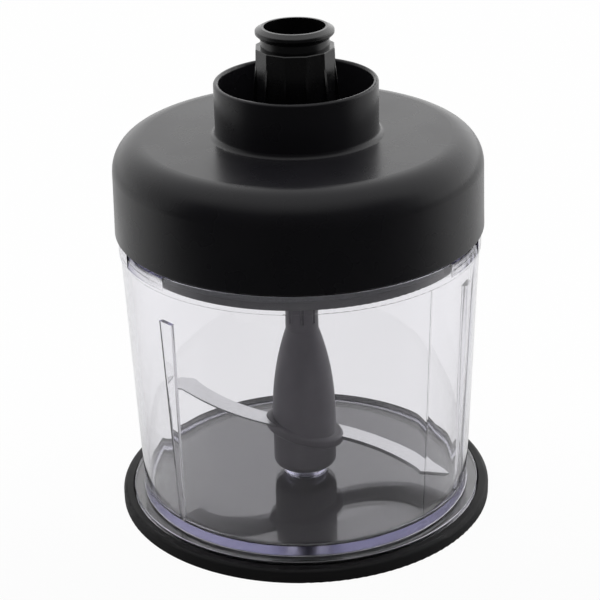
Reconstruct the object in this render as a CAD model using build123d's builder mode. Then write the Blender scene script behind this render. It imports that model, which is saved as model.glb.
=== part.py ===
"""Chopper attachment of a hand blender.

A clear bowl stands in a rubber base. A knife with an S-shaped blade turns on a pin in the bowl's
floor. The lid closes on the bowl with a bayonet and holds a planetary gear: the blender's motor
turns the star in the coupling tube, and the gear turns the knife at a quarter of that speed.

Lengths are millimetres and angles are degrees. The origin is under the middle of the base, +Z is
up, and the front of the object looks along -Y. Headings are measured from +X towards +Y.
"""

import math
import os

from build123d import *

# Plays and cuts
overrun = 1.0
running_clearance = 0.05
loose_clearance = 0.3
end_play = 0.2

# Rubber base
base_wall = 3.6
base_height = 4.6
base_floor = 2.15
base_edge_round = 1.3
base_foot_round = 0.5
base_rim_width = 14.7
base_hollow_depth = 0.6

# Clear bowl, whose radii start from its mouth
bowl_mouth_radius = 55.6
bowl_taper = 2.5
bowl_wall = 2.1
bowl_wall_height = 83.7
bowl_foot_ledge = 3.6
bowl_foot_width = 4.8
bowl_foot_height = 3.3
bowl_foot_round = 0.25
bowl_root_round = 0.3
bowl_floor_lift = 3.0
bowl_floor = 2.4
bowl_floor_round = 2.6
bowl_neck_wall = 1.4
bowl_neck_height = 6.5
bowl_band_ledge = 1.9
bowl_band_step = 0.5
bowl_band_height = 6.0
bowl_edge_round = 0.4
bowl_boss_radius = 7.0
bowl_boss_height = 1.8
bowl_boss_round = 0.6

# Ribs inside the bowl's wall, which stop the food from turning with the knife
rib_headings = (-138.6, -21.2)
rib_extra_heights = (0.0, 3.7)
rib_headroom = 11.0
rib_depth = 1.4
rib_root = 1.0
rib_foot_width = 1.8
rib_head_width = 5.6
rib_round = 0.5

# Fine line that the mould leaves on the bowl's outer wall
mould_line_heading = -47.0
mould_line_span = 0.5
mould_line_height = 0.12

# Bayonet between the bowl's neck and the lid's skirt, with a ramp in the rim where each lug enters
bayonet_count = 3
bayonet_heading = 93.0
ramp_span = 22.0
ramp_lift = 1.2
ramp_depth = 0.8
ramp_drop = 1.3
lug_height = 2.0
lug_reach = 1.1
lid_lug_span = 20.0
bowl_lug_span = 28.0
bowl_lug_lag = 28.0
bowl_stop_span = 6.0

# Pivot pin in the bowl's floor
pin_radius = 2.5
pin_reach = 30.6
pin_floor = 0.6
pin_round = 1.2

# Knife hub
hub_lift = 1.0
hub_radius = 10.6
hub_foot_round = 2.6
hub_straight = 19.6
hub_taper = 31.0
hub_neck_play = 0.5
hub_band_ledge = 2.55
hub_band_side_share = 0.865
hub_band_height = 4.2
hub_band_round = 1.6
hub_band_lift = 13.1
hub_band_tilt = 16.7
flute_count = 8
flute_radius = 0.7
flute_sink_share = 0.45
flute_lift = 3.0
tip_play = 0.4
tip_wing_span = 50.0
tip_wing_height = 5.2

# Knife blade, a flat S-shaped plate that leans in the hub's band
blade_drop = 6.0
blade_tilt = 16.9
blade_rise_heading = -162.7
blade_heading = 19.4
blade_thickness = 1.2
blade_bend_radius = 37.5
blade_half_width = 5.1
blade_tip_gap = 1.6
blade_clip_angle = 3.3
blade_eye_radius = 8.2
blade_hole_radius = 4.4
blade_bevel_width = 1.9
blade_bevel_depth = 0.7

# Lid shell with its collar
lid_draft = 0.6
lid_height = 30.6
lid_wall = 2.4
lid_skirt_wall = 1.4
lid_rim_gap = 0.7
lid_edge_round = 0.4
lid_shoulder_round = 10.0
collar_radius = 26.1
collar_wall = 1.7
collar_height = 17.4
collar_rim_share = 0.47
collar_root_round = 1.75
seat_rib_width = 1.8
post_radius = 3.6
post_length = 10.2
post_offset = 5.5
screw_count = 4
screw_heading = 45.0

# Coupling tube that the blender's nose slides over, whose radii start from its bore
spigot_bore_radius = 9.7
spigot_bore_depth = 13.35
spigot_well_step = 0.7
spigot_well_depth = 11.4
spigot_shelf = 1.6
spigot_flange_radius = 19.0
spigot_flange = 2.4
spigot_facets = 12
spigot_facet_wall = 3.05
spigot_root_flare = 0.85
spigot_facet_rise = 28.40
spigot_facet_chamfer = 0.25
spigot_neck_wall = 1.15
spigot_neck_height = 2.65
spigot_bead_reach = 1.6
spigot_bead_slope = 1.6
spigot_bead_height = 1.1
spigot_bead_round = 0.5
spigot_lip_wall = 0.8
spigot_lip_slope = 1.0
fin_width = 0.8
fin_reach = 1.9
fin_headroom = 4.5

# Gear cover that closes the lid from below
cover_lip_gap = 1.6
cover_drop = 7.0
cover_floor = 2.2
cover_edge_round = 0.8
cover_lip_height = 3.0
cover_groove_depth = 1.8
cover_flange_height = 2.0
cover_wall = 2.2
cover_boss_wall = 2.5

# Ring seal round the gear cover
seal_height = 3.2
seal_round = 0.8

# Gear train
gear_module = 1.0
pressure_angle = 20.0
sun_teeth = 18
planet_teeth = 18
planet_count = 3
addendum_share = 0.8
dedendum_share = 1.05
tooth_slack = 0.12
gear_face = 8.0
tooth_points = 5

# Ring gear with its web and screw ears
ring_web = 2.4
ring_rim = 4.45
ring_margin = 0.5
ring_relief = 0.55
ear_radius = 4.2
ear_thickness = 2.4
ear_hole_radius = 1.7

# Screws that hold the ring gear to the lid's posts
screw_radius = 1.5
screw_length = 10.0
screw_head_radius = 2.8
screw_head_height = 2.2
screw_slot_width = 0.8
screw_slot_length = 3.2
screw_slot_depth = 1.2
screw_tip_room = 0.6

# Shafts, bushes and washers
shaft_radius = 4.0
shaft_flat_depth = 0.7
shaft_round = 0.3
upper_bush_wall = 3.0
upper_bush_ledge = 2.5
bush_flange = 1.2
lower_bush_wall = 2.5
lower_bush_ledge = 1.6
seal_lip_height = 2.2
seal_lip_clearance = 0.08
washer_thickness = 0.8
washer_clearance = 0.1
drive_washer_gap = 0.8
sun_washer_ledge = 1.6

# Star that the blender's motor turns
star_core_wall = 1.7
star_gap = 1.0
star_arms = 6
star_arm_width = 2.6
star_height = 9.0
clip_seat_depth = 0.8
clip_ledge = 2.0
clip_thickness = 0.8
clip_gap_width = 4.4
clip_shoulder = 0.5

# Planet carrier and the socket that drives the knife
carrier_gap = 1.0
carrier_plate = 3.5
carrier_headroom = 0.8
carrier_hole_radius = 4.0
carrier_hole_inset = 2.0
top_plate_inset = 0.6
top_plate_hole_gap = 1.4
top_plate = 1.6
planet_pin_radius = 2.0
socket_radius = 8.5
socket_wall = 2.5
socket_recess = 0.4
socket_bore_depth = 8.0
socket_key_depth = 1.4
socket_key_span = 50.0
socket_key_height = 5.8
socket_ceiling = 1.0
knife_headroom = 0.4
neck_entry = 1.4


# Heights worked out from the sizes above, from the table upwards
bowl_foot_z = base_floor + running_clearance
bowl_floor_under_z = bowl_foot_z + bowl_floor_lift
bowl_floor_z = bowl_floor_under_z + bowl_floor
bowl_boss_z = bowl_floor_z + bowl_boss_height
bowl_band_z = bowl_floor_z + bowl_wall_height
bowl_band_top_z = bowl_band_z + bowl_band_height
bowl_top_z = bowl_band_top_z + bowl_neck_height
lid_edge_z = bowl_band_top_z + lid_rim_gap
lid_top_z = lid_edge_z + lid_height
lid_ceiling_z = lid_top_z - lid_wall

# Heights inside the lid, stacked down from its ceiling
spigot_flange_z = lid_ceiling_z - spigot_flange
web_z = spigot_flange_z - ring_web
upper_bush_z = web_z - bush_flange
top_plate_z = web_z - carrier_headroom - top_plate
gear_top_z = top_plate_z - loose_clearance
gear_z = gear_top_z - gear_face
carrier_top_z = gear_z - loose_clearance
carrier_z = carrier_top_z - carrier_plate
carrier_washer_z = carrier_z - end_play - washer_thickness
cover_boss_z = carrier_washer_z - bush_flange
cover_z = lid_edge_z - cover_drop
cover_lip_z = cover_z + cover_lip_height
cover_groove_z = cover_lip_z + end_play + seal_height + end_play
cover_top_z = cover_groove_z + cover_flange_height
cover_floor_z = cover_z + cover_floor
post_z = lid_ceiling_z - post_length
ear_z = post_z - ear_thickness
socket_z = cover_z + socket_recess
socket_bore_z = socket_z + socket_bore_depth
output_shaft_z = socket_bore_z + socket_ceiling

# Heights of the coupling tube
spigot_facet_z = lid_top_z + spigot_facet_rise
spigot_bead_z = spigot_facet_z + spigot_neck_height
spigot_rim_z = spigot_bead_z + spigot_bead_slope + spigot_bead_height
spigot_top_z = spigot_rim_z + spigot_lip_slope
spigot_bore_z = spigot_top_z - spigot_bore_depth
spigot_well_z = spigot_bore_z - spigot_well_depth
upper_bush_top_z = spigot_well_z - spigot_shelf
star_z = spigot_well_z + washer_thickness + end_play
star_top_z = star_z + star_height
fin_rise = spigot_facet_rise - fin_headroom

# Heights of the knife
hub_z = bowl_boss_z + hub_lift
hub_shoulder_z = hub_z + hub_straight
hub_neck_z = hub_shoulder_z + hub_taper
hub_neck_top_z = socket_z + neck_entry
knife_top_z = socket_bore_z - knife_headroom
blade_lift = hub_straight - blade_drop
pin_root = bowl_boss_height + bowl_floor - pin_floor

# Radii of the bowl and the base, from the bowl's mouth outwards and down
bowl_floor_radius = bowl_mouth_radius - bowl_taper
bowl_root_radius = bowl_floor_radius + bowl_wall
bowl_foot_radius = bowl_root_radius + bowl_foot_ledge
bowl_foot_inner_radius = bowl_foot_radius - bowl_foot_width
bowl_neck_radius = bowl_mouth_radius + bowl_neck_wall
bowl_band_radius = bowl_neck_radius + bowl_band_ledge
bowl_shoulder_radius = bowl_band_radius - bowl_band_step
bowl_lug_radius = bowl_neck_radius + lug_reach
base_recess_radius = bowl_foot_radius + loose_clearance
base_pad_radius = bowl_foot_inner_radius - loose_clearance
base_radius = base_recess_radius + base_wall
base_hollow_radius = base_radius - base_rim_width
rib_height = bowl_wall_height - rib_headroom

# Radii of the lid, which goes over the bowl's lugs, and of the gear cover, which goes into its mouth
lid_skirt_radius = bowl_lug_radius + loose_clearance
lid_edge_radius = lid_skirt_radius + lid_skirt_wall
lid_wall_radius = lid_edge_radius - lid_draft
collar_rim_round = collar_wall * collar_rim_share
cover_radius = bowl_mouth_radius - cover_lip_gap
cover_groove_radius = cover_radius - cover_groove_depth
cover_inner_radius = cover_groove_radius - cover_wall
cover_flange_radius = bowl_mouth_radius - loose_clearance - end_play
seal_inner_radius = cover_groove_radius + loose_clearance
seal_outer_radius = bowl_mouth_radius - loose_clearance

# Radii of the coupling tube, the shafts, the bushes and the star
spigot_neck_radius = spigot_bore_radius + spigot_neck_wall
spigot_bead_radius = spigot_neck_radius + spigot_bead_reach
spigot_lip_radius = spigot_bore_radius + spigot_lip_wall
spigot_facet_radius = spigot_bore_radius + spigot_facet_wall
spigot_root_radius = spigot_facet_radius + spigot_root_flare
spigot_well_radius = spigot_bore_radius - spigot_well_step
shaft_flat = shaft_radius - shaft_flat_depth
upper_bush_radius = shaft_radius + upper_bush_wall
upper_bush_flange_radius = upper_bush_radius + upper_bush_ledge
lower_bush_radius = socket_radius + lower_bush_wall
lower_bush_flange_radius = lower_bush_radius + lower_bush_ledge
drive_washer_radius = spigot_well_radius - drive_washer_gap
sun_washer_radius = upper_bush_radius + sun_washer_ledge
star_core_radius = shaft_radius + star_core_wall
star_radius = spigot_well_radius - star_gap
clip_seat_radius = shaft_radius - clip_seat_depth
clip_radius = shaft_radius + clip_ledge

# Radii of the gear train
sun_radius = gear_module * sun_teeth / 2
planet_radius = gear_module * planet_teeth / 2
planet_orbit_radius = sun_radius + planet_radius
ring_teeth = sun_teeth + 2 * planet_teeth
ring_radius = gear_module * ring_teeth / 2
ring_root_radius = ring_radius + gear_module * dedendum_share
ring_tip_radius = ring_radius - gear_module * addendum_share
ring_outer_radius = ring_root_radius + ring_rim
post_circle_radius = ring_outer_radius + post_offset
carrier_radius = ring_tip_radius - carrier_gap
carrier_hole_circle_radius = planet_orbit_radius - carrier_hole_inset
top_plate_radius = carrier_radius - top_plate_inset
top_plate_hole_radius = sun_radius + gear_module * addendum_share + top_plate_hole_gap

# Radii of the knife, whose tip goes into the socket and whose blade stays clear of the bowl
socket_bore_radius = socket_radius - socket_wall
socket_key_radius = socket_bore_radius - socket_key_depth
hub_neck_radius = socket_bore_radius - hub_neck_play
hub_band_radius = hub_radius + hub_band_ledge
tip_wing_radius = socket_bore_radius - tip_play
tip_radius = socket_key_radius - tip_play
blade_reach = bowl_floor_radius - blade_tip_gap
back_radius = blade_bend_radius + blade_half_width
belly_radius = blade_bend_radius - blade_half_width
tip_cosine = (back_radius**2 + blade_bend_radius**2 - blade_reach**2) / (2 * back_radius * blade_bend_radius)
blade_back_sweep = math.degrees(math.acos(tip_cosine))
blade_belly_sweep = blade_back_sweep - blade_clip_angle


def turned(*corners, heading=0):
    """A closed outline of (radius, height, corner round) on an upright plane, ready to revolve."""
    points = [(radius, height) for radius, height, _ in corners]
    rounds = [corner_round for _, _, corner_round in corners]
    with BuildSketch(Plane.XZ.rotated((0, 0, heading))) as outline:
        with BuildLine():
            FilletPolyline(*points, radius=rounds, close=True)
        make_face()
    return outline.sketch


def tube(inner_radius, outer_radius, low_z, high_z, edge_round=0):
    """The outline of a plain ring between two heights."""
    return turned(
        (inner_radius, low_z, edge_round),
        (outer_radius, low_z, edge_round),
        (outer_radius, high_z, edge_round),
        (inner_radius, high_z, edge_round),
    )


def sector(inner_radius, outer_radius, low_z, heading, span):
    """A flat piece of a ring, centred on a heading, at one height."""
    with BuildSketch(Plane.XY.offset(low_z)) as piece:
        with BuildLine():
            outer = CenterArc((0, 0), outer_radius, heading - span / 2, span)
            inner = CenterArc((0, 0), inner_radius, heading - span / 2, span)
            Line(outer @ 0, inner @ 0)
            Line(outer @ 1, inner @ 1)
        make_face()
    return piece.sketch


def flatted_disc(low_z):
    """The section of a shaft with one flat, which turns what sits on it."""
    with BuildSketch(Plane.XY.offset(low_z)) as section:
        Circle(shaft_radius)
        with Locations((0, shaft_flat + shaft_radius)):
            Rectangle(2 * shaft_radius, 2 * shaft_radius, mode=Mode.SUBTRACT)
    return section.sketch


def involute(angle):
    """The involute function of a pressure angle in radians."""
    return math.tan(angle) - angle


def polar(radius, angle):
    """The point at a radius and an angle in radians."""
    return (radius * math.cos(angle), radius * math.sin(angle))


def gear_outline(teeth, root_radius, tip_radius, tooth_width, phase, low_z):
    """A spur gear's outline with involute flanks, one tooth centred at the phase angle."""
    pitch_radius = gear_module * teeth / 2
    pitch_pressure = math.radians(pressure_angle)
    involute_radius = pitch_radius * math.cos(pitch_pressure)
    flank_radius = max(root_radius, involute_radius)
    pitch_half_angle = tooth_width / (2 * pitch_radius) + involute(pitch_pressure)
    steps = [flank_radius + (tip_radius - flank_radius) * i / (tooth_points - 1) for i in range(tooth_points)]
    half_angles = [pitch_half_angle - involute(math.acos(involute_radius / step)) for step in steps]
    pitch_angle = 2 * math.pi / teeth
    with BuildSketch(Plane.XY.offset(low_z)) as outline:
        with BuildLine():
            for tooth in range(teeth):
                middle = math.radians(phase) + pitch_angle * tooth
                rising = [polar(r, middle - a) for r, a in zip(steps, half_angles)]
                falling = [polar(r, middle + a) for r, a in zip(steps, half_angles)]
                root_start = polar(root_radius, middle - half_angles[0])
                root_end = polar(root_radius, middle + half_angles[0])
                next_root = polar(root_radius, middle + pitch_angle - half_angles[0])
                if flank_radius > root_radius:
                    Line(root_start, rising[0])
                    Line(falling[0], root_end)
                Spline(*rising)
                ThreePointArc(rising[-1], polar(tip_radius, middle), falling[-1])
                Spline(*reversed(falling))
                ThreePointArc(root_end, polar(root_radius, middle + pitch_angle / 2), next_root)
        make_face()
    return outline.sketch


def spur_gear(teeth, phase):
    """The outline of an outside gear of this train, at the height where the teeth start."""
    pitch_radius = gear_module * teeth / 2
    return gear_outline(
        teeth,
        pitch_radius - gear_module * dedendum_share,
        pitch_radius + gear_module * addendum_share,
        math.pi * gear_module / 2 - tooth_slack,
        phase,
        gear_z,
    )


# Rubber base: a shallow dish with a pad under the bowl's floor
with BuildPart() as non_slip_base:
    revolve(
        turned(
            (0, base_hollow_depth, 0),
            (base_hollow_radius, base_hollow_depth, 0),
            (base_hollow_radius, 0, 0),
            (base_radius, 0, base_foot_round),
            (base_radius, base_height, base_edge_round),
            (base_recess_radius, base_height, base_foot_round),
            (base_recess_radius, base_floor, 0),
            (base_pad_radius, base_floor, 0),
            (base_pad_radius, bowl_floor_under_z - loose_clearance, base_foot_round),
            (0, bowl_floor_under_z - loose_clearance, 0),
        ),
        axis=Axis.Z,
    )

# Clear bowl: foot ring, tapered wall, rim band, neck, ribs and bayonet lugs
bowl_lug_z = lid_edge_z + loose_clearance + lug_height + loose_clearance

with BuildPart() as bowl:
    revolve(
        turned(
            (0, bowl_floor_under_z, 0),
            (bowl_foot_inner_radius, bowl_floor_under_z, 0),
            (bowl_foot_inner_radius, bowl_foot_z, 0),
            (bowl_foot_radius, bowl_foot_z, bowl_foot_round),
            (bowl_foot_radius, bowl_foot_z + bowl_foot_height, bowl_foot_round),
            (bowl_root_radius, bowl_foot_z + bowl_foot_height, bowl_root_round),
            (bowl_shoulder_radius, bowl_band_z, 0),
            (bowl_band_radius, bowl_band_z, bowl_edge_round),
            (bowl_band_radius, bowl_band_top_z, bowl_edge_round),
            (bowl_neck_radius, bowl_band_top_z, 0),
            (bowl_neck_radius, bowl_top_z, bowl_edge_round),
            (bowl_mouth_radius, bowl_top_z, bowl_edge_round),
            (bowl_mouth_radius, bowl_band_z, 0),
            (bowl_floor_radius, bowl_floor_z, bowl_floor_round),
            (bowl_boss_radius, bowl_floor_z, bowl_boss_round),
            (bowl_boss_radius, bowl_boss_z, bowl_boss_round),
            (0, bowl_boss_z, 0),
        ),
        axis=Axis.Z,
    )
    for heading, extra_height in zip(rib_headings, rib_extra_heights):
        rib_top = rib_height + extra_height
        rib_head_radius = bowl_floor_radius + bowl_taper * rib_top / bowl_wall_height
        with BuildSketch(Plane.XY.offset(bowl_floor_z - bowl_floor / 2).rotated((0, 0, heading))):
            with Locations((bowl_floor_radius + (rib_root - rib_depth) / 2, 0)):
                RectangleRounded(rib_root + rib_depth, rib_foot_width, rib_round)
        with BuildSketch(Plane.XY.offset(bowl_floor_z + rib_top).rotated((0, 0, heading))):
            with Locations((rib_head_radius + (rib_root - rib_depth) / 2, 0)):
                RectangleRounded(rib_root + rib_depth, rib_head_width, rib_round)
        loft()
    revolve(
        turned(
            (bowl_root_radius - bowl_wall / 2, bowl_foot_z + bowl_foot_height, 0),
            (bowl_root_radius + mould_line_height, bowl_foot_z + bowl_foot_height, 0),
            (bowl_shoulder_radius + mould_line_height, bowl_band_z, 0),
            (bowl_shoulder_radius - bowl_wall / 2, bowl_band_z, 0),
            heading=mould_line_heading - mould_line_span / 2,
        ),
        axis=Axis.Z,
        revolution_arc=mould_line_span,
    )
    for corner in range(bayonet_count):
        entry = bayonet_heading + 360 / bayonet_count * corner
        lug = entry - bowl_lug_lag
        stop = lug - bowl_lug_span / 2 + bowl_stop_span / 2
        extrude(
            sector(bowl_mouth_radius + bowl_edge_round, bowl_lug_radius, bowl_lug_z, lug, bowl_lug_span),
            amount=lug_height,
        )
        extrude(
            sector(bowl_mouth_radius + bowl_edge_round, bowl_lug_radius, bowl_band_z, stop, bowl_stop_span),
            amount=bowl_lug_z - bowl_band_z,
        )
        revolve(
            turned(
                (bowl_band_radius, bowl_band_z + ramp_lift, 0),
                (bowl_band_radius + overrun, bowl_band_z + ramp_lift, 0),
                (bowl_band_radius + overrun, bowl_band_top_z + overrun, 0),
                (bowl_neck_radius, bowl_band_top_z + overrun, 0),
                (bowl_neck_radius, bowl_band_top_z - ramp_drop, 0),
                (bowl_band_radius - ramp_depth, bowl_band_top_z - ramp_drop, 0),
                heading=entry - ramp_span / 2,
            ),
            axis=Axis.Z,
            revolution_arc=ramp_span,
            mode=Mode.SUBTRACT,
        )
    with Locations((0, 0, bowl_boss_z)):
        Hole(pin_radius, depth=pin_root)

# Steel pin that the knife turns on
pin_z = bowl_boss_z - pin_root
with BuildPart() as bowl_pivot_pin:
    revolve(
        turned(
            (0, pin_z, 0),
            (pin_radius, pin_z, 0),
            (pin_radius, bowl_boss_z + pin_reach, pin_round),
            (0, bowl_boss_z + pin_reach, 0),
        ),
        axis=Axis.Z,
    )

# Knife blade: two curved wings that leave the hub on opposite sides, on one leaning plane
blade_slope = math.tan(math.radians(blade_tilt))
rise_x, rise_y = polar(blade_slope, math.radians(blade_rise_heading))
along_x, along_y = polar(1, math.radians(blade_heading))
blade_plane = Plane(
    origin=(0, 0, hub_z + blade_lift),
    x_dir=(along_x, along_y, rise_x * along_x + rise_y * along_y),
    z_dir=(-rise_x, -rise_y, 1),
)
bend_middle = (0, -blade_bend_radius)

with BuildPart() as knife_blade:
    with BuildSketch(blade_plane.offset(-blade_thickness / 2)):
        with BuildLine():
            back = CenterArc(bend_middle, back_radius, 90, -blade_back_sweep)
            belly = CenterArc(bend_middle, belly_radius, 90, -blade_belly_sweep)
            Line(back @ 1, belly @ 1)
            Line(back @ 0, belly @ 0)
        make_face()
        with BuildLine():
            far_back = CenterArc((0, blade_bend_radius), back_radius, -90, -blade_back_sweep)
            far_belly = CenterArc((0, blade_bend_radius), belly_radius, -90, -blade_belly_sweep)
            Line(far_back @ 1, far_belly @ 1)
            Line(far_back @ 0, far_belly @ 0)
        make_face()
        Circle(blade_eye_radius)
        Circle(blade_hole_radius, mode=Mode.SUBTRACT)
    extrude(amount=blade_thickness)
    lower_face = knife_blade.faces().sort_by(Axis((0, 0, 0), blade_plane.z_dir))[0]
    round_edges = lower_face.edges().filter_by(GeomType.CIRCLE)
    cutting_edges = [edge for edge in round_edges if abs(edge.radius - back_radius) < running_clearance]
    chamfer(cutting_edges, blade_bevel_width, blade_bevel_depth, reference=lower_face)

# Leaning band round the hub, where the blade comes out: upright sides between two leaning faces
hub_band_plane = Plane(origin=(0, 0, hub_z + hub_band_lift)).rotated((0, hub_band_tilt, 0))
with BuildPart() as hub_band:
    with BuildSketch(Plane.XY.offset(hub_z + hub_band_lift - hub_band_radius)):
        Ellipse(hub_band_radius, hub_band_radius * hub_band_side_share)
    extrude(amount=2 * hub_band_radius)
    split(bisect_by=hub_band_plane.offset(hub_band_height / 2), keep=Keep.BOTTOM)
    split(bisect_by=hub_band_plane.offset(-hub_band_height / 2), keep=Keep.TOP)
    leaning_faces = hub_band.faces().sort_by(Axis(hub_band_plane.origin, hub_band_plane.z_dir))
    fillet(leaning_faces[0].edges() + leaning_faces[-1].edges(), hub_band_round)

# Knife hub: bottle shape moulded over the blade
with BuildPart() as knife_hub:
    with BuildSketch(Plane.XZ):
        with BuildLine():
            foot = Polyline((0, hub_z), (hub_radius - hub_foot_round, hub_z))
            heel = CenterArc((hub_radius - hub_foot_round, hub_z + hub_foot_round), hub_foot_round, -90, 90)
            side = Line(heel @ 1, (hub_radius, hub_shoulder_z))
            bottle = TangentArc(side @ 1, (hub_neck_radius, hub_neck_z), tangent=(0, 1))
            Polyline(
                bottle @ 1,
                (hub_neck_radius, hub_neck_top_z),
                (tip_radius, hub_neck_top_z),
                (tip_radius, knife_top_z),
                (0, knife_top_z),
                (0, hub_z),
            )
        make_face()
    revolve(axis=Axis.Z)
    add(hub_band.part)
    for wing_heading in (0, 180):
        extrude(
            sector(tip_radius / 2, tip_wing_radius, knife_top_z - tip_wing_height, wing_heading, tip_wing_span),
            amount=tip_wing_height,
        )
    with BuildSketch(Plane.XY.offset(hub_neck_z + flute_lift)):
        with PolarLocations(hub_neck_radius + flute_radius * flute_sink_share, flute_count):
            Circle(flute_radius)
    extrude(amount=hub_neck_top_z - hub_neck_z - flute_lift, mode=Mode.SUBTRACT)
    with BuildSketch(Plane.XY.offset(hub_z)):
        Circle(pin_radius + running_clearance)
    extrude(amount=bowl_boss_z + pin_reach + loose_clearance - hub_z, mode=Mode.SUBTRACT)
    add(knife_blade.part, mode=Mode.SUBTRACT)

# Rubber ring between the gear cover and the bowl's mouth
with BuildPart() as lid_seal:
    seal_z = cover_lip_z + end_play
    revolve(
        turned(
            (seal_inner_radius, seal_z, 0),
            (seal_outer_radius, seal_z, seal_round),
            (seal_outer_radius, seal_z + seal_height, seal_round),
            (seal_inner_radius, seal_z + seal_height, 0),
        ),
        axis=Axis.Z,
    )

# Lid shell: skirt, shoulder, top, collar, seat rib for the gear cover, screw posts and lugs
collar_inner_radius = collar_radius - collar_wall
collar_top_z = lid_top_z + collar_height
skirt_top_z = bowl_top_z + end_play
shoulder_x = lid_wall_radius - lid_shoulder_round
shoulder_z = lid_top_z - lid_shoulder_round
seat_rib_radius = cover_flange_radius - seat_rib_width
seat_rib_reach = cover_flange_radius - seat_rib_width / 2 - shoulder_x
seat_rib_z = shoulder_z + math.sqrt((lid_shoulder_round - lid_wall / 2) ** 2 - seat_rib_reach**2)
lid_lug_radius = lid_skirt_radius - lug_reach
lid_lug_z = lid_edge_z + loose_clearance

with BuildPart() as lid_shell:
    revolve(
        turned(
            (spigot_root_radius + loose_clearance, lid_ceiling_z, 0),
            (spigot_root_radius + loose_clearance, lid_top_z, 0),
            (collar_inner_radius, lid_top_z, collar_rim_round),
            (collar_inner_radius, collar_top_z, collar_rim_round),
            (collar_radius, collar_top_z, collar_rim_round),
            (collar_radius, lid_top_z, collar_root_round),
            (lid_wall_radius, lid_top_z, lid_shoulder_round),
            (lid_edge_radius, lid_edge_z, lid_edge_round),
            (lid_skirt_radius, lid_edge_z, lid_edge_round),
            (lid_skirt_radius, skirt_top_z, 0),
            (lid_wall_radius - lid_wall, skirt_top_z, 0),
            (lid_wall_radius - lid_wall, lid_ceiling_z, lid_shoulder_round - lid_wall),
        ),
        axis=Axis.Z,
    )
    revolve(tube(seat_rib_radius, cover_flange_radius, cover_top_z, seat_rib_z), axis=Axis.Z)
    with BuildSketch(Plane.XY.offset(post_z)):
        with PolarLocations(post_circle_radius, screw_count, screw_heading):
            Circle(post_radius)
    extrude(amount=post_length + lid_wall / 2)
    with BuildSketch(Plane.XY.offset(post_z)):
        with PolarLocations(post_circle_radius, screw_count, screw_heading):
            Circle(screw_radius)
    extrude(amount=screw_length - ear_thickness + screw_tip_room, mode=Mode.SUBTRACT)
    for corner in range(bayonet_count):
        entry = bayonet_heading + 360 / bayonet_count * corner
        extrude(
            sector(lid_lug_radius, lid_skirt_radius + lid_skirt_wall / 2, lid_lug_z, entry, lid_lug_span),
            amount=lug_height,
        )

# Coupling tube: flange under the lid's top, faceted foot with fins, neck and bead
facet_turn = 180 / spigot_facets
with BuildPart() as coupling_spigot:
    with BuildSketch(Plane.XY.offset(spigot_flange_z)):
        Circle(spigot_flange_radius)
    extrude(amount=spigot_flange)
    with BuildSketch(Plane.XY.offset(lid_ceiling_z)):
        RegularPolygon(spigot_root_radius, spigot_facets, rotation=facet_turn)
    with BuildSketch(Plane.XY.offset(spigot_facet_z)):
        RegularPolygon(spigot_facet_radius, spigot_facets, rotation=facet_turn)
    loft()
    chamfer(coupling_spigot.edges().group_by(Axis.Z)[-1], spigot_facet_chamfer)
    revolve(
        turned(
            (0, lid_top_z, 0),
            (spigot_neck_radius, lid_top_z, 0),
            (spigot_neck_radius, spigot_bead_z, 0),
            (spigot_bead_radius, spigot_bead_z + spigot_bead_slope, spigot_bead_round),
            (spigot_bead_radius, spigot_rim_z, spigot_bead_round),
            (spigot_lip_radius, spigot_top_z, 0),
            (0, spigot_top_z, 0),
        ),
        axis=Axis.Z,
    )
    for fin in range(spigot_facets):
        fin_heading = facet_turn + 360 / spigot_facets * fin
        with BuildSketch(Plane.XZ.rotated((0, 0, fin_heading))):
            with BuildLine():
                Polyline(
                    (spigot_neck_radius, lid_top_z + end_play),
                    (spigot_root_radius + fin_reach, lid_top_z + end_play),
                    (spigot_facet_radius, lid_top_z + fin_rise),
                    (spigot_neck_radius, lid_top_z + fin_rise),
                    close=True,
                )
            make_face()
        extrude(amount=fin_width / 2, both=True)
    revolve(
        turned(
            (0, spigot_flange_z, 0),
            (upper_bush_radius, spigot_flange_z, 0),
            (upper_bush_radius, upper_bush_top_z, 0),
            (shaft_radius + end_play, upper_bush_top_z, 0),
            (shaft_radius + end_play, spigot_well_z, 0),
            (spigot_well_radius, spigot_well_z, 0),
            (spigot_well_radius, spigot_bore_z, 0),
            (spigot_bore_radius, spigot_bore_z, 0),
            (spigot_bore_radius, spigot_top_z, 0),
            (0, spigot_top_z, 0),
        ),
        axis=Axis.Z,
        mode=Mode.SUBTRACT,
    )

# Gear cover: a dish with a groove for the ring seal and a boss for the lower bush
with BuildPart() as gear_cover:
    revolve(
        turned(
            (lower_bush_radius, cover_z, 0),
            (cover_radius, cover_z, cover_edge_round),
            (cover_radius, cover_lip_z, 0),
            (cover_groove_radius, cover_lip_z, 0),
            (cover_groove_radius, cover_groove_z, 0),
            (cover_flange_radius, cover_groove_z, 0),
            (cover_flange_radius, cover_top_z, 0),
            (cover_inner_radius, cover_top_z, 0),
            (cover_inner_radius, cover_floor_z, 0),
            (lower_bush_radius + cover_boss_wall, cover_floor_z, cover_edge_round),
            (lower_bush_radius + cover_boss_wall, cover_boss_z, 0),
            (lower_bush_radius, cover_boss_z, 0),
        ),
        axis=Axis.Z,
    )

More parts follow.
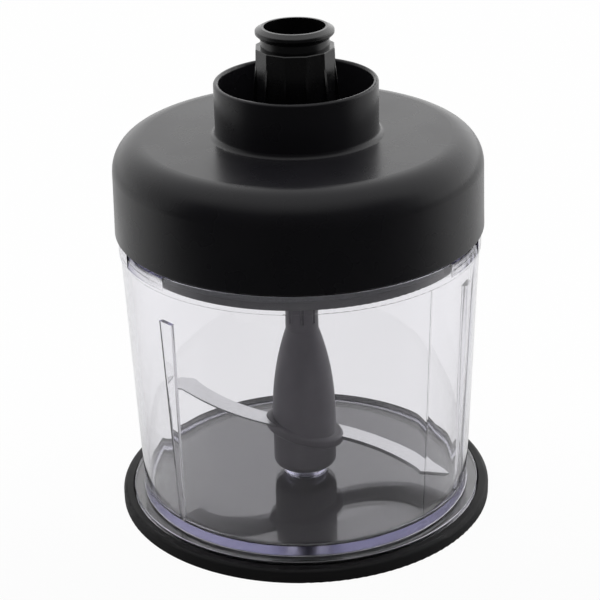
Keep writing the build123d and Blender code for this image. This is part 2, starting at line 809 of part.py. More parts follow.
# Ring gear: web over the gears, rim with inside teeth, and ears for the screws
teeth_top_z = gear_top_z + ring_margin
ring_z = gear_z - ring_margin
with BuildPart() as ring_gear:
    revolve(
        turned(
            (upper_bush_radius, web_z, 0),
            (upper_bush_radius, spigot_flange_z, 0),
            (ring_outer_radius, spigot_flange_z, 0),
            (ring_outer_radius, ring_z, 0),
            (ring_tip_radius, ring_z, 0),
            (ring_tip_radius, teeth_top_z, 0),
            (ring_root_radius + ring_relief, teeth_top_z, 0),
            (ring_root_radius + ring_relief, web_z, 0),
        ),
        axis=Axis.Z,
    )
    extrude(
        gear_outline(
            ring_teeth,
            ring_tip_radius - loose_clearance,
            ring_root_radius,
            math.pi * gear_module / 2 + tooth_slack,
            180 / ring_teeth,
            ring_z,
        ),
        amount=teeth_top_z - ring_z,
        mode=Mode.SUBTRACT,
    )
    ear_reach = post_circle_radius - ring_outer_radius + ring_rim / 2
    with BuildSketch(Plane.XY.offset(ear_z)):
        with PolarLocations(post_circle_radius, screw_count, screw_heading):
            Circle(ear_radius)
        with PolarLocations(post_circle_radius - ear_reach / 2, screw_count, screw_heading):
            Rectangle(ear_reach, 2 * ear_radius)
        with PolarLocations(post_circle_radius, screw_count, screw_heading):
            Circle(ear_hole_radius, mode=Mode.SUBTRACT)
    extrude(amount=ear_thickness)

# Screws through the ring gear's ears
with BuildPart() as gear_screws:
    for corner in range(screw_count):
        screw_x, screw_y = polar(post_circle_radius, math.radians(screw_heading + 360 / screw_count * corner))
        with BuildSketch(Plane.XY.offset(ear_z - screw_head_height)):
            with Locations((screw_x, screw_y)):
                Circle(screw_head_radius)
        extrude(amount=screw_head_height)
        with BuildSketch(Plane.XY.offset(ear_z)):
            with Locations((screw_x, screw_y)):
                Circle(screw_radius)
        extrude(amount=screw_length)
        with BuildSketch(Plane.XY.offset(ear_z - screw_head_height)):
            with Locations((screw_x, screw_y)):
                Rectangle(screw_slot_length, screw_slot_width)
                Rectangle(screw_slot_width, screw_slot_length)
        extrude(amount=screw_slot_depth, mode=Mode.SUBTRACT)

# Flanged bush of the input shaft
with BuildPart() as upper_bush:
    revolve(
        turned(
            (shaft_radius + running_clearance, upper_bush_z, 0),
            (upper_bush_flange_radius, upper_bush_z, 0),
            (upper_bush_flange_radius, web_z, 0),
            (upper_bush_radius, web_z, 0),
            (upper_bush_radius, upper_bush_top_z, 0),
            (shaft_radius + running_clearance, upper_bush_top_z, 0),
        ),
        axis=Axis.Z,
    )

# Flanged bush of the knife socket
lower_bush_z = cover_z + seal_lip_height
with BuildPart() as lower_bush:
    revolve(
        turned(
            (socket_radius + running_clearance, lower_bush_z, 0),
            (lower_bush_radius, lower_bush_z, 0),
            (lower_bush_radius, cover_boss_z, 0),
            (lower_bush_flange_radius, cover_boss_z, 0),
            (lower_bush_flange_radius, carrier_washer_z, 0),
            (socket_radius + running_clearance, carrier_washer_z, 0),
        ),
        axis=Axis.Z,
    )

# Rubber ring that keeps food out of the lower bush
with BuildPart() as shaft_seal:
    revolve(
        tube(socket_radius + seal_lip_clearance, lower_bush_radius, cover_z, lower_bush_z),
        axis=Axis.Z,
    )

# Washers under the carrier, over the sun gear and under the star
with BuildPart() as carrier_washer:
    revolve(
        tube(
            socket_radius + washer_clearance,
            lower_bush_flange_radius,
            carrier_washer_z,
            carrier_washer_z + washer_thickness,
        ),
        axis=Axis.Z,
    )

with BuildPart() as sun_washer:
    revolve(
        tube(shaft_radius + washer_clearance, sun_washer_radius, gear_top_z + end_play, upper_bush_z),
        axis=Axis.Z,
    )

with BuildPart() as drive_washer:
    revolve(
        tube(
            shaft_radius + end_play,
            drive_washer_radius,
            spigot_well_z,
            spigot_well_z + washer_thickness,
        ),
        axis=Axis.Z,
    )

# Input shaft with a flat at the sun gear, a flat at the star and a groove for the clip
clip_top_z = star_top_z + clip_thickness
shaft_top_z = clip_top_z + clip_shoulder
with BuildPart() as input_shaft:
    revolve(
        turned(
            (0, gear_z, 0),
            (shaft_radius, gear_z, shaft_round),
            (shaft_radius, star_top_z, 0),
            (clip_seat_radius, star_top_z, 0),
            (clip_seat_radius, clip_top_z, 0),
            (shaft_radius, clip_top_z, 0),
            (shaft_radius, shaft_top_z, 0),
            (0, shaft_top_z, 0),
        ),
        axis=Axis.Z,
    )
    for flat_z, flat_top_z in ((gear_z, gear_top_z), (star_z, shaft_top_z)):
        with BuildSketch(Plane.XY.offset(flat_z)):
            with Locations((0, shaft_flat + shaft_radius)):
                Rectangle(2 * shaft_radius, 2 * shaft_radius)
        extrude(amount=flat_top_z - flat_z, mode=Mode.SUBTRACT)

# Sun gear on the input shaft
with BuildPart() as sun_gear:
    extrude(spur_gear(sun_teeth, 0), amount=gear_face)
    extrude(flatted_disc(gear_z), amount=gear_face, mode=Mode.SUBTRACT)

# Star on top of the input shaft, which the blender's motor turns
with BuildPart() as drive_dog:
    with BuildSketch(Plane.XY.offset(star_z)):
        Circle(star_core_radius)
        with PolarLocations((star_radius + shaft_radius) / 2, star_arms):
            Rectangle(star_radius - shaft_radius, star_arm_width)
    extrude(amount=star_height)
    chamfer(drive_dog.edges().group_by(Axis.Z)[-1], shaft_round)
    extrude(flatted_disc(star_z), amount=star_height, mode=Mode.SUBTRACT)

# Spring clip that keeps the star on the shaft
with BuildPart() as dog_clip:
    with BuildSketch(Plane.XY.offset(star_top_z)):
        Circle(clip_radius)
        Circle(clip_seat_radius, mode=Mode.SUBTRACT)
        with Locations((0, -clip_radius)):
            Rectangle(clip_gap_width, 2 * clip_radius, mode=Mode.SUBTRACT)
    extrude(amount=clip_thickness)

# Planet carrier, its top plate and the pins between them
with BuildPart() as planet_carrier:
    with BuildSketch(Plane.XY.offset(carrier_z)):
        Circle(carrier_radius)
        with PolarLocations(planet_orbit_radius, planet_count):
            Circle(planet_pin_radius, mode=Mode.SUBTRACT)
        with PolarLocations(carrier_hole_circle_radius, planet_count, 180 / planet_count):
            Circle(carrier_hole_radius, mode=Mode.SUBTRACT)
    extrude(amount=carrier_plate)
    extrude(flatted_disc(carrier_z), amount=carrier_plate, mode=Mode.SUBTRACT)

with BuildPart() as carrier_top_plate:
    with BuildSketch(Plane.XY.offset(top_plate_z)):
        Circle(top_plate_radius)
        Circle(top_plate_hole_radius, mode=Mode.SUBTRACT)
        with PolarLocations(planet_orbit_radius, planet_count):
            Circle(planet_pin_radius, mode=Mode.SUBTRACT)
    extrude(amount=top_plate)

with BuildPart() as planet_pins:
    with BuildSketch(Plane.XY.offset(carrier_z)):
        with PolarLocations(planet_orbit_radius, planet_count):
            Circle(planet_pin_radius)
    extrude(amount=top_plate_z + top_plate - carrier_z)

# Output shaft between the carrier and the socket
with BuildPart() as output_shaft:
    extrude(flatted_disc(output_shaft_z), amount=carrier_top_z - output_shaft_z)

# Socket that turns the knife, with two keys that catch the wings of the knife's tip
with BuildPart() as drive_socket:
    with BuildSketch(Plane.XY.offset(socket_z)):
        Circle(socket_radius)
    extrude(amount=carrier_z - socket_z)
    with BuildSketch(Plane.XY.offset(socket_z)):
        Circle(socket_bore_radius)
    extrude(amount=socket_bore_depth, mode=Mode.SUBTRACT)
    for key_heading in (90, 270):
        key_z = socket_bore_z - socket_key_height
        key_root = (socket_bore_radius + socket_radius) / 2
        extrude(
            sector(socket_key_radius, key_root, key_z, key_heading, socket_key_span),
            amount=socket_key_height,
        )
    extrude(flatted_disc(output_shaft_z), amount=carrier_z - output_shaft_z, mode=Mode.SUBTRACT)

# Planet gears, each with a gap of teeth facing the sun gear
planet_gears = []
for planet in range(planet_count):
    orbit_angle = 360 / planet_count * planet
    planet_x, planet_y = polar(planet_orbit_radius, math.radians(orbit_angle))
    with BuildPart() as planet_gear:
        extrude(spur_gear(planet_teeth, orbit_angle + 180 / planet_teeth), amount=gear_face)
        with BuildSketch(Plane.XY.offset(gear_z)):
            Circle(planet_pin_radius + running_clearance)
        extrude(amount=gear_face, mode=Mode.SUBTRACT)
    planet_gears.append(planet_gear.part.moved(Location((planet_x, planet_y, 0))))

# Write one file for each piece
pieces = {
    "non_slip_base": non_slip_base.part,
    "bowl": bowl.part,
    "bowl_pivot_pin": bowl_pivot_pin.part,
    "knife_hub": knife_hub.part,
    "knife_blade": knife_blade.part,
    "lid_seal": lid_seal.part,
    "lid_shell": lid_shell.part,
    "coupling_spigot": coupling_spigot.part,
    "gear_cover": gear_cover.part,
    "ring_gear": ring_gear.part,
    "gear_screws": gear_screws.part,
    "upper_bush": upper_bush.part,
    "lower_bush": lower_bush.part,
    "shaft_seal": shaft_seal.part,
    "carrier_washer": carrier_washer.part,
    "sun_washer": sun_washer.part,
    "drive_washer": drive_washer.part,
    "input_shaft": input_shaft.part,
    "sun_gear": sun_gear.part,
    "drive_dog": drive_dog.part,
    "dog_clip": dog_clip.part,
    "planet_carrier": planet_carrier.part,
    "carrier_top_plate": carrier_top_plate.part,
    "planet_pins": planet_pins.part,
    "output_shaft": output_shaft.part,
    "drive_socket": drive_socket.part,
}
for planet, gear in enumerate(planet_gears, start=1):
    pieces[f"planet_gear_{planet}"] = gear

os.makedirs("parts", exist_ok=True)
for name, piece in pieces.items():
    piece.label = name
    export_step(piece, f"parts/{name}.step")

print("height", round(spigot_top_z, 2), "collar top", round(collar_top_z, 2), "lid top", round(lid_top_z, 2))
print("cover", round(cover_z, 2), "boss top", round(cover_boss_z, 2), "gears", round(gear_z, 2), round(gear_top_z, 2))
print("star", round(star_z, 2), round(star_top_z, 2), "bore from", round(spigot_bore_z, 2))
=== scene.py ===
# %% [markdown]
# # The chopper of a hand blender
#
# The chopper is a clear bowl in a rubber base, with a knife on a pin and a black lid that holds a small
# gear. The exact shapes come from its CAD model. They could be drawn again here, but then they would
# drift from the real sizes, so they are loaded and kept, and this lesson is about light and finishes:
# what makes a moulded lid look moulded, and a clear bowl look clear.

# %% Load the chopper's pieces
import math

import bpy
from mathutils import Matrix

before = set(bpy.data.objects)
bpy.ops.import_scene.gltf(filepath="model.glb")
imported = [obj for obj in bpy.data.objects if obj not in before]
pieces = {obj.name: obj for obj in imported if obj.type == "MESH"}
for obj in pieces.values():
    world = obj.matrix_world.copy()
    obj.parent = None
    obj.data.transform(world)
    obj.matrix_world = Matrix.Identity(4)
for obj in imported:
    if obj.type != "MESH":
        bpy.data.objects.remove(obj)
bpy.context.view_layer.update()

# %% [markdown]
# ## The camera
#
# The chopper is seen from a little above, with the far side of the bowl's floor just showing over the
# near side. A camera can be turned by eye until it looks right, or worked out from the ellipses of the
# lid, the collar and the base. The second way is used here, because a lid that is wrong by one degree
# is easy to see next to the bowl. The lens is long, as in product photographs, so that the sides of the
# bowl stay almost parallel.

# %% Set up the camera
SENSOR_WIDTH = 36.0
LENS = 110.84
CAMERA_PLACE = (-0.00048, -0.5582, 0.3199)
CAMERA_PITCH = math.radians(65.89)
CAMERA_ROLL = math.radians(-1.48)
MATRIX_SIZE = 4
scene = bpy.context.scene
camera_data = bpy.data.cameras.new("studio_camera")
camera_data.sensor_width = SENSOR_WIDTH
camera_data.lens = LENS
camera = bpy.data.objects.new("studio_camera", camera_data)
pitch = Matrix.Rotation(CAMERA_PITCH, MATRIX_SIZE, "X")
roll = Matrix.Rotation(CAMERA_ROLL, MATRIX_SIZE, "Z")
camera.matrix_world = Matrix.Translation(CAMERA_PLACE) @ pitch @ roll
scene.collection.objects.link(camera)
scene.camera = camera
scene.view_settings.view_transform = "Standard"
print("camera stands at", [round(v, 3) for v in camera.matrix_world.translation])

# %% [markdown]
# ## Small tools for nodes
#
# The table, the room and the finishes are all built from a few kinds of node: a sum, a value stretched
# from one range to another, and the place of a point. Each could be added by hand every time, but a few
# short helpers keep the later cells easy to read.


# %% Helpers for nodes
def feed(tree, place, value):
    """Puts a plain value or another node's output into a socket."""
    if isinstance(value, bpy.types.NodeSocket):
        tree.links.new(value, place)
    else:
        place.default_value = value


def calc(tree, operation, *values):
    """A number worked out from other numbers."""
    sum_node = tree.nodes.new("ShaderNodeMath")
    sum_node.operation = operation
    for place, value in zip(sum_node.inputs, values):
        feed(tree, place, value)
    return sum_node.outputs[0]


def stretch(tree, value, start, end, low=0.0, high=1.0):
    """Goes from low to high while value goes from start to end."""
    span = tree.nodes.new("ShaderNodeMapRange")
    feed(tree, span.inputs["Value"], value)
    span.inputs["From Min"].default_value = start
    span.inputs["From Max"].default_value = end
    span.inputs["To Min"].default_value = low
    span.inputs["To Max"].default_value = high
    return span.outputs[0]


def own_axes(tree, kind="Object"):
    """The x, y and z of a point in metres, or of a direction in the room."""
    place = tree.nodes.new("ShaderNodeTexCoord")
    axes = tree.nodes.new("ShaderNodeSeparateXYZ")
    tree.links.new(place.outputs[kind], axes.inputs[0])
    return axes.outputs["X"], axes.outputs["Y"], axes.outputs["Z"]


def from_axis(tree, across, along):
    """How far a point is from the chopper's upright axis."""
    across_squared = calc(tree, "MULTIPLY", across, across)
    return calc(tree, "SQRT", calc(tree, "MULTIPLY_ADD", along, along, across_squared))


print("node helpers ready")

# %% [markdown]
# ## The table
#
# A clear bowl shows whatever stands behind it, so the table matters as much as the bowl. A very bright
# lamp on a white table would wash out the bowl. Here the table is paint that fades from a painted shade in
# front, where the black lid mirrors it, to white behind. Looked at straight, or through the bowl, it is
# white paper that keeps a little of its own paint, and with it the chopper's soft shadow.

# %% Lay the table
TABLE_FRONT = -0.60
TABLE_BACK = 1.60
TABLE_SIDE = 1.30
table_corners = [
    (-TABLE_SIDE, TABLE_FRONT, 0),
    (TABLE_SIDE, TABLE_FRONT, 0),
    (TABLE_SIDE, TABLE_BACK, 0),
    (-TABLE_SIDE, TABLE_BACK, 0),
]
table_mesh = bpy.data.meshes.new("table")
table_mesh.from_pydata(table_corners, [], [(0, 1, 2, 3)])
table = bpy.data.objects.new("table", table_mesh)
scene.collection.objects.link(table)
print("table", TABLE_BACK - TABLE_FRONT, "m deep")


# %% [markdown]
# ## Straight looks and mirrored ones
#
# The paper should show where the camera looks at it, also through the bowl, but not where the lid or the
# steel mirrors it. Each ray of light knows how often it was mirrored, so a ray that has not been mirrored
# yet is a straight look. The table and the room both use this.

# %% Tell straight looks from mirrored ones
BEFORE_FIRST_MIRROR = 0.5


def straight_look(tree):
    """1 for the camera's own rays and for those that only passed through clear plastic."""
    rays = tree.nodes.new("ShaderNodeLightPath")
    unmirrored = calc(tree, "LESS_THAN", rays.outputs["Glossy Depth"], BEFORE_FIRST_MIRROR)
    through = calc(tree, "MULTIPLY", rays.outputs["Is Transmission Ray"], unmirrored)
    return calc(tree, "MAXIMUM", rays.outputs["Is Camera Ray"], through)


print("a straight look has fewer than", BEFORE_FIRST_MIRROR, "mirrors on its way")

# %% [markdown]
# ## The table's paint
#
# The paint could be one grey, but then the lid's front would mirror as much light as its top. A ramp along
# the table's depth paints shade on the front, where less light falls, and keeps it dark. Over it lies the
# paper, for straight looks alone.

# %% Paint the table
TABLE_PAPER = 0.96
TABLE_PAINTED_SHADE = 0.08
TABLE_PALE = 0.93
FADE_START = -0.19
FADE_END = 0.06
table_paint = bpy.data.materials.new("table_paint")
table_paint.use_nodes = True
tree = table_paint.node_tree
paint = tree.nodes["Principled BSDF"]
paint.inputs["Roughness"].default_value = 1.0
paint.inputs["Specular IOR Level"].default_value = 0.0
table_y = own_axes(tree)[1]
shade_ramp = tree.nodes.new("ShaderNodeValToRGB")
shade_ramp.color_ramp.interpolation = "EASE"
# the front of the table is painted shade: darker paint where less light falls
shade_ramp.color_ramp.elements[0].color = (TABLE_PAINTED_SHADE, TABLE_PAINTED_SHADE, TABLE_PAINTED_SHADE, 1)
shade_ramp.color_ramp.elements[1].color = (TABLE_PALE, TABLE_PALE, TABLE_PALE, 1)
tree.links.new(stretch(tree, table_y, FADE_START, FADE_END), shade_ramp.inputs[0])
tree.links.new(shade_ramp.outputs[0], paint.inputs["Base Color"])
paper = tree.nodes.new("ShaderNodeEmission")
either = tree.nodes.new("ShaderNodeMixShader")
tree.links.new(calc(tree, "MULTIPLY", straight_look(tree), TABLE_PAPER), either.inputs[0])
tree.links.new(paint.outputs[0], either.inputs[1])
tree.links.new(paper.outputs[0], either.inputs[2])
tree.links.new(either.outputs[0], tree.nodes["Material Output"].inputs["Surface"])
table.data.materials.append(table_paint)
print("table paint fades from", FADE_START, "m to", FADE_END, "m")

# %% [markdown]
# ## The light
#
# Black plastic has almost no colour of its own: what is seen is the room in it. The lid's top mirrors
# the bright wall behind it, and the lid's front mirrors the darker room in front. So the room is bright
# at the back, at the sides and overhead, a little brighter to the right than to the left, and dim in
# front. A sky picture would do this too, but six plain numbers are easier to understand and to change.

# %% Build the room
ROOM_FRONT = 0.06
ROOM_SIDE = 0.80
ROOM_BACK = 1.15
ROOM_TOP = 1.06
ROOM_LEFT_SHARE = 0.92
ROOM_RIGHT_SHARE = 1.60
ROOM_MARKS = ((0.0, ROOM_FRONT), (0.30, ROOM_FRONT), (0.52, ROOM_SIDE), (0.80, ROOM_BACK))
ROOM_ENDS = (-1.0, 1.0)
CEILING_START = 0.52
CEILING_END = 0.97
room = bpy.data.worlds.new("studio_room")
scene.world = room
room.use_nodes = True
tree = room.node_tree
tree.nodes.clear()
room_x, room_y, room_z = own_axes(tree, "Generated")
walls = tree.nodes.new("ShaderNodeValToRGB")
walls.color_ramp.interpolation = "EASE"
stops = walls.color_ramp.elements
for number, (mark, level) in enumerate(ROOM_MARKS):
    stop = stops[number] if number < len(stops) else stops.new(mark)
    stop.position = mark
    stop.color = (level, level, level, 1)
tree.links.new(stretch(tree, room_y, *ROOM_ENDS), walls.inputs[0])
balance = tree.nodes.new("ShaderNodeVectorMath")
balance.operation = "SCALE"
tree.links.new(walls.outputs[0], balance.inputs[0])
sides = stretch(tree, room_x, *ROOM_ENDS, ROOM_LEFT_SHARE, ROOM_RIGHT_SHARE)
tree.links.new(sides, balance.inputs["Scale"])
overhead = tree.nodes.new("ShaderNodeMix")
overhead.data_type = "RGBA"
overhead.inputs["B"].default_value = (ROOM_TOP, ROOM_TOP, ROOM_TOP, 1)
tree.links.new(balance.outputs[0], overhead.inputs["A"])
tree.links.new(stretch(tree, room_z, CEILING_START, CEILING_END), overhead.inputs["Factor"])
print("room levels", ROOM_FRONT, ROOM_SIDE, ROOM_BACK, ROOM_TOP)

# %% [markdown]
# ## White paper behind the chopper
#
# A product photograph has white paper behind the object. A white wall would have to be lit so brightly
# that the black lid turned grey. So the paper is for straight looks alone, and the lid still mirrors the
# room.

# %% Hang the paper
room_light = tree.nodes.new("ShaderNodeBackground")
tree.links.new(overhead.outputs["Result"], room_light.inputs["Color"])
paper = tree.nodes.new("ShaderNodeBackground")
paper.inputs["Color"].default_value = (1, 1, 1, 1)
either = tree.nodes.new("ShaderNodeMixShader")
tree.links.new(straight_look(tree), either.inputs[0])
tree.links.new(room_light.outputs[0], either.inputs[1])
tree.links.new(paper.outputs[0], either.inputs[2])
outside = tree.nodes.new("ShaderNodeOutputWorld")
tree.links.new(either.outputs[0], outside.inputs["Surface"])
print("paper hangs behind the table")

# %% [markdown]
# ## Light in thick plastic
#
# In a foot ring or a rim the light is mirrored many times before it comes out. With few bounces those
# places turn black. More bounces take longer, so the numbers are just high enough for the bowl's foot.

# %% Let light find its way
CLEAR_BOUNCES = 32
MIRROR_BOUNCES = 24
light_paths = scene.cycles
light_paths.max_bounces = CLEAR_BOUNCES
light_paths.transmission_bounces = CLEAR_BOUNCES
light_paths.glossy_bounces = MIRROR_BOUNCES
print("bounces", CLEAR_BOUNCES, MIRROR_BOUNCES)

# %% [markdown]
# ## Finishes
#
# No moulded or turned surface is one flat colour. Under a glass, plastic has a fine grain from the
# mould, steel has lines from the wheel and rubber is dull and uneven. Each finish below starts from a
# noise in the piece's own metres, so that the grain keeps its real size, and uses it three ways: for a
# little colour, for the polish and for a shallow relief. Most pieces have two noises, large patches for
# colour and polish and a fine skin for the relief. Where the marks of a tool make all three, there is one.

# %% Helpers for a finish
EVEN = (1, 1, 1)
PLAIN_DETAIL = 3.0
TONE_LOW = 0.35
TONE_HIGH = 0.65
POLISH_LOW = 0.30
POLISH_HIGH = 0.70


def grain(tree, size, squeeze=EVEN, detail=PLAIN_DETAIL):
    """Noise whose marks are about size metres wide, longer where squeeze is below 1."""
    place = tree.nodes.new("ShaderNodeTexCoord")
    spread = tree.nodes.new("ShaderNodeMapping")
    spread.inputs["Scale"].default_value = squeeze
    noise = tree.nodes.new("ShaderNodeTexNoise")
    noise.inputs["Scale"].default_value = 1 / size
    noise.inputs["Detail"].default_value = detail
    tree.links.new(place.outputs["Object"], spread.inputs["Vector"])
    tree.links.new(spread.outputs["Vector"], noise.inputs["Vector"])
    return noise.outputs["Fac"]


def tone(tree, shader, noise, dark, light):
    """Colours the shader between two tones."""
    ramp = tree.nodes.new("ShaderNodeValToRGB")
    ramp.color_ramp.elements[0].position = TONE_LOW
    ramp.color_ramp.elements[0].color = (*dark, 1)
    ramp.color_ramp.elements[1].position = TONE_HIGH
    ramp.color_ramp.elements[1].color = (*light, 1)
    tree.links.new(noise, ramp.inputs[0])
    tree.links.new(ramp.outputs[0], shader.inputs["Base Color"])


def relief(tree, shader, noise, strength, depth):
    """Raises the grain by a real depth in metres."""
    bump = tree.nodes.new("ShaderNodeBump")
    bump.inputs["Strength"].default_value = strength
    bump.inputs["Distance"].default_value = depth
    tree.links.new(noise, bump.inputs["Height"])
    tree.links.new(bump.outputs[0], shader.inputs["Normal"])


print("tones lie between", TONE_LOW, "and", TONE_HIGH, "of the noise")

# %% [markdown]
# ## From noise to a finish
#
# Every finish needs the same steps, so one function takes the numbers that differ. A finish is put on the
# object and not on its shape, so that the shape stays as the CAD model gives it.


# %% Make a finish and put it on pieces
def bare_finish(name):
    """A material and its one shader."""
    finish = bpy.data.materials.new(name)
    finish.use_nodes = True
    return finish, finish.node_tree.nodes["Principled BSDF"]


def new_finish(name, patch, dark, light, polish, strength, depth, skin=None, **marks):
    """A finish with patches of tone and polish, and a fine skin, or the patches, raised."""
    finish, shader = bare_finish(name)
    tree = finish.node_tree
    patches = grain(tree, patch, **marks)
    tone(tree, shader, patches, dark, light)
    dullness = stretch(tree, patches, POLISH_LOW, POLISH_HIGH, *polish)
    tree.links.new(dullness, shader.inputs["Roughness"])
    relief(tree, shader, grain(tree, skin) if skin else patches, strength, depth)
    return finish, shader


def dress(finish, *names):
    """Gives a finish to pieces, on the object and not on its shape."""
    for name in names:
        for place in pieces[name].material_slots:
            place.link = "OBJECT"
            place.material = finish
    print(finish.name, "on", ", ".join(names))


print("pieces to dress", len(pieces))

# %% [markdown]
# ## The black lid
#
# The lid is black plastic from a mould with a satin wall: it mirrors the collar on its top as a soft
# dark patch, so it can't be very rough, and it has no sharp highlights, so it isn't polished either.
# Two noises do it, one as large as a thumb print for the polish and a fine one for the mould's grain.

# %% Lid shell
LID_GLOSS = 0.27
lid_black, shader = new_finish(
    "satin_black_lid",
    patch=0.018,
    dark=(0.0118, 0.0114, 0.0140),
    light=(0.0140, 0.0135, 0.0164),
    polish=(0.25, 0.31),
    skin=0.0003,
    strength=0.10,
    depth=0.00002,
)
shader.inputs["Specular IOR Level"].default_value = LID_GLOSS
dress(lid_black, "lid_shell")

# %% [markdown]
# ## The coupling tube
#
# The tube is the same plastic, but the blender's nose rubs on it, so its mould is smoother. It could
# share the lid's finish. It has its own, because the facets show their edges only when they are shinier
# and darker than the lid.

# %% Coupling tube
tube_black, _ = new_finish(
    "smooth_black_tube",
    patch=0.006,
    dark=(0.0034, 0.0034, 0.0040),
    light=(0.0046, 0.0046, 0.0052),
    polish=(0.20, 0.30),
    skin=0.0003,
    strength=0.08,
    depth=0.00002,
)
dress(tube_black, "coupling_spigot")

# %% [markdown]
# ## The clear bowl
#
# The bowl is clear plastic with a faint violet tint that shows only where the plastic is thick, at the
# foot and at the rim. A see-through mix of two shaders is quick, but then the wall doesn't bend the
# light. A shader that really refracts gives the dark edge lines, the bright foot and the mirrored floor
# by itself. The tint is an absorption inside the plastic, so thick places get more of it.

# %% Clear plastic
WASH_MARKS = 0.012
WASHED_POLISH = (0.004, 0.018)
PLASTIC_IOR = 1.55
CLEAR_TONE = (0.985, 0.982, 0.990)
VIOLET_TINT = (0.58, 0.57, 0.70)
TINT_DENSITY = 32.0
clear, shader = bare_finish("clear_bowl")
shader.inputs["Base Color"].default_value = (*CLEAR_TONE, 1)
shader.inputs["Transmission Weight"].default_value = 1.0
shader.inputs["IOR"].default_value = PLASTIC_IOR
tree = clear.node_tree
wall_polish = stretch(tree, grain(tree, WASH_MARKS), POLISH_LOW, POLISH_HIGH, *WASHED_POLISH)
tint = tree.nodes.new("ShaderNodeVolumeAbsorption")
tint.inputs["Color"].default_value = (*VIOLET_TINT, 1)
tint.inputs["Density"].default_value = TINT_DENSITY
tree.links.new(tint.outputs[0], tree.nodes["Material Output"].inputs["Volume"])
print("clear plastic bends light by", PLASTIC_IOR)

# %% [markdown]
# ## Dull places on the bowl
#
# The wall of the mould is polished, but the foot and the three ramps where the lid's lugs go in are left
# as the cutter made them. Dull plastic spreads the light, so the foot glows as one even violet band
# and the ramps look like frosted blocks. Two finishes on one bowl would need a cut in its shape. Here one
# finish asks for each point's place: low and far out is the foot, high and at a ramp's heading is a ramp.

# %% Foot, ramps and polish of the bowl
DULLNESS = 0.12
FOOT_TOP = 0.0054
FOOT_RADIUS = 0.0360
RAMP_COUNT = 3
RAMP_HEADING = math.radians(93.0)
RAMP_HALF_SPAN = math.radians(11.5)
RAMP_Z = 0.0920
bowl_x, bowl_y, bowl_z = own_axes(tree)
far_out = calc(tree, "GREATER_THAN", from_axis(tree, bowl_x, bowl_y), FOOT_RADIUS)
on_foot = calc(tree, "MULTIPLY", far_out, calc(tree, "LESS_THAN", bowl_z, FOOT_TOP))
heading = calc(tree, "ARCTAN2", bowl_y, bowl_x)
ramp_turn = calc(tree, "MULTIPLY_ADD", heading, RAMP_COUNT, -RAMP_COUNT * RAMP_HEADING)
ramp_edge = math.cos(RAMP_COUNT * RAMP_HALF_SPAN)
near_ramp = calc(tree, "GREATER_THAN", calc(tree, "COSINE", ramp_turn), ramp_edge)
on_ramp = calc(tree, "MULTIPLY", near_ramp, calc(tree, "GREATER_THAN", bowl_z, RAMP_Z))
dull = calc(tree, "MAXIMUM", on_foot, on_ramp)
bowl_polish = calc(tree, "MULTIPLY_ADD", dull, DULLNESS, wall_polish)
tree.links.new(bowl_polish, shader.inputs["Roughness"])
dress(clear, "bowl")

# %% [markdown]
# ## The rubber base
#
# The base is a soft black ring that keeps the bowl from sliding. Rubber scatters light from a dull
# skin, so its highlights are wide and weak, and dust makes it greyer in patches. Under the bowl the
# rubber is a paler grey. That grey is what shows through the bowl's floor, and a ramp over the distance
# from the middle lays it down.

# %% Rubber of the base
DISH_RADIUS = 0.0480
DISH_EDGE = 0.0020
DISH_GREY = (0.126, 0.116, 0.132)
RUBBER_GLOSS = 0.24
rubber, shader = new_finish(
    "black_rubber",
    patch=0.010,
    dark=(0.0038, 0.0036, 0.0042),
    light=(0.0060, 0.0057, 0.0066),
    polish=(0.50, 0.62),
    skin=0.0004,
    strength=0.25,
    depth=0.00004,
)
shader.inputs["Specular IOR Level"].default_value = RUBBER_GLOSS
tree = rubber.node_tree
base_x, base_y, _ = own_axes(tree)
# the rubber turns a paler grey towards the middle, under the bowl
inward = stretch(tree, from_axis(tree, base_x, base_y), DISH_RADIUS + DISH_EDGE, DISH_RADIUS)
paler_dish = tree.nodes.new("ShaderNodeMix")
paler_dish.data_type = "RGBA"
paler_dish.inputs["B"].default_value = (*DISH_GREY, 1)
tree.links.new(inward, paler_dish.inputs["Factor"])
tree.links.new(shader.inputs["Base Color"].links[0].from_socket, paler_dish.inputs["A"])
tree.links.new(paler_dish.outputs["Result"], shader.inputs["Base Color"])
dress(rubber, "non_slip_base", "shaft_seal")

# %% [markdown]
# ## The lid's seal
#
# The seal is a softer, grey rubber that closes the bowl's mouth. It is seen only through the rim, so a
# fine skin is enough and it needs no dust.

# %% Seal round the gear cover
seal_rubber, _ = new_finish(
    "grey_seal_rubber",
    patch=0.0006,
    dark=(0.14, 0.14, 0.15),
    light=(0.18, 0.18, 0.19),
    polish=(0.42, 0.55),
    strength=0.15,
    depth=0.00003,
)
dress(seal_rubber, "lid_seal")

# %% [markdown]
# ## The grey hub and the gear cover
#
# The knife's hub is moulded round the blade, with a matt wall that hides scratches. Its edges are paler
# than its middle, as on any softly matt plastic, and a little sheen gives that. The cover under the lid
# is the same plastic from a smoother mould, without the sheen.

# %% Hub
HUB_GLOSS = 0.75
HUB_SHEEN = 0.22
HUB_SHEEN_SPREAD = 0.35
hub_grey, shader = new_finish(
    "matt_grey_hub",
    patch=0.009,
    dark=(0.104, 0.097, 0.111),
    light=(0.124, 0.116, 0.131),
    polish=(0.40, 0.50),
    skin=0.0004,
    strength=0.30,
    depth=0.00004,
)
shader.inputs["Specular IOR Level"].default_value = HUB_GLOSS
shader.inputs["Sheen Weight"].default_value = HUB_SHEEN
shader.inputs["Sheen Roughness"].default_value = HUB_SHEEN_SPREAD
dress(hub_grey, "knife_hub")

# %% Cover, socket and star
cover_grey, _ = new_finish(
    "smooth_grey_cover",
    patch=0.014,
    dark=(0.128, 0.126, 0.132),
    light=(0.146, 0.144, 0.150),
    polish=(0.34, 0.44),
    skin=0.0004,
    strength=0.15,
    depth=0.00003,
)
dress(cover_grey, "gear_cover", "drive_socket", "drive_dog")

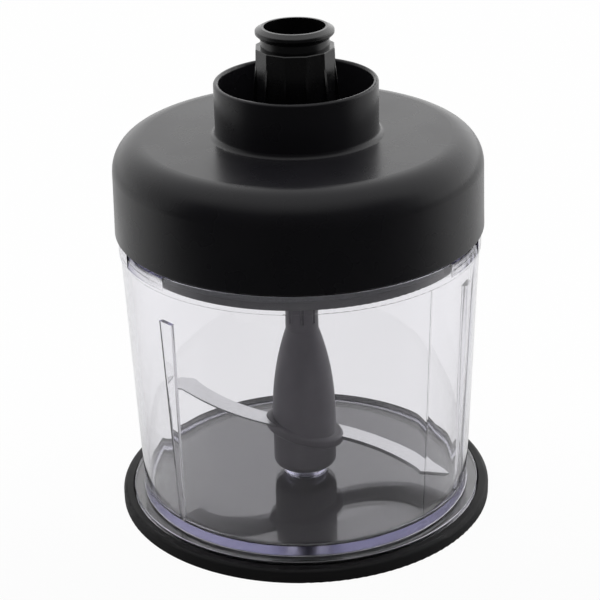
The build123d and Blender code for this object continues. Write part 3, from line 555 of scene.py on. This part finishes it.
# %% [markdown]
# ## Steel
#
# The blade is cut from brushed sheet, so its lines run along it. Shafts, pins and washers are turned on
# a lathe, so their lines run round them. The same noise does both: it is stretched along the blade, and
# squeezed along the shaft's own axis. Plates and clips come from a press, which leaves no lines at all.

# %% Blade
ALL_METAL = 1.0
ALONG_BLADE = (0.03, 1, 1)
blade_steel, shader = new_finish(
    "brushed_blade_steel",
    patch=0.0006,
    squeeze=ALONG_BLADE,
    dark=(0.50, 0.50, 0.51),
    light=(0.60, 0.60, 0.61),
    polish=(0.30, 0.44),
    strength=0.10,
    depth=0.00002,
)
shader.inputs["Metallic"].default_value = ALL_METAL
dress(blade_steel, "knife_blade")

# %% Turned steel
ROUND_SHAFT = (0.1, 0.1, 1)
turned_steel, shader = new_finish(
    "turned_steel",
    patch=0.0004,
    squeeze=ROUND_SHAFT,
    dark=(0.60, 0.60, 0.61),
    light=(0.74, 0.74, 0.75),
    polish=(0.20, 0.34),
    strength=0.12,
    depth=0.00002,
)
shader.inputs["Metallic"].default_value = ALL_METAL
dress(turned_steel, "input_shaft", "output_shaft", "bowl_pivot_pin", "planet_pins", "sun_gear")

# %% Pressed steel
pressed_steel, shader = new_finish(
    "pressed_steel",
    patch=0.0012,
    dark=(0.52, 0.52, 0.53),
    light=(0.66, 0.66, 0.66),
    polish=(0.28, 0.42),
    strength=0.08,
    depth=0.00002,
)
shader.inputs["Metallic"].default_value = ALL_METAL
dress(pressed_steel, "carrier_top_plate", "dog_clip", "gear_screws")
dress(pressed_steel, "carrier_washer", "sun_washer", "drive_washer")

# %% [markdown]
# ## Gears and bushes
#
# The gears are pale moulded plastic that lets a little light in, which softens the tooth edges. The
# bushes are pressed from bronze powder, so they are speckled with pores that hold oil. They show only
# when the lid is taken apart, but a part for reuse should still look right there.

# %% Gear plastic
LIGHT_INSIDE = 0.12
LIGHT_DEPTH = 0.002
gear_white, shader = new_finish(
    "pale_gear_plastic",
    patch=0.004,
    dark=(0.76, 0.75, 0.70),
    light=(0.84, 0.83, 0.79),
    polish=(0.36, 0.48),
    skin=0.0003,
    strength=0.10,
    depth=0.00002,
)
shader.inputs["Subsurface Weight"].default_value = LIGHT_INSIDE
shader.inputs["Subsurface Scale"].default_value = LIGHT_DEPTH
dress(gear_white, "ring_gear", "planet_carrier", "planet_gear_1", "planet_gear_2", "planet_gear_3")

# %% Bronze bushes
bronze, shader = new_finish(
    "oiled_bronze",
    patch=0.0005,
    detail=6.0,
    dark=(0.32, 0.20, 0.09),
    light=(0.62, 0.44, 0.22),
    polish=(0.30, 0.50),
    strength=0.20,
    depth=0.00003,
)
shader.inputs["Metallic"].default_value = ALL_METAL
dress(bronze, "upper_bush", "lower_bush")
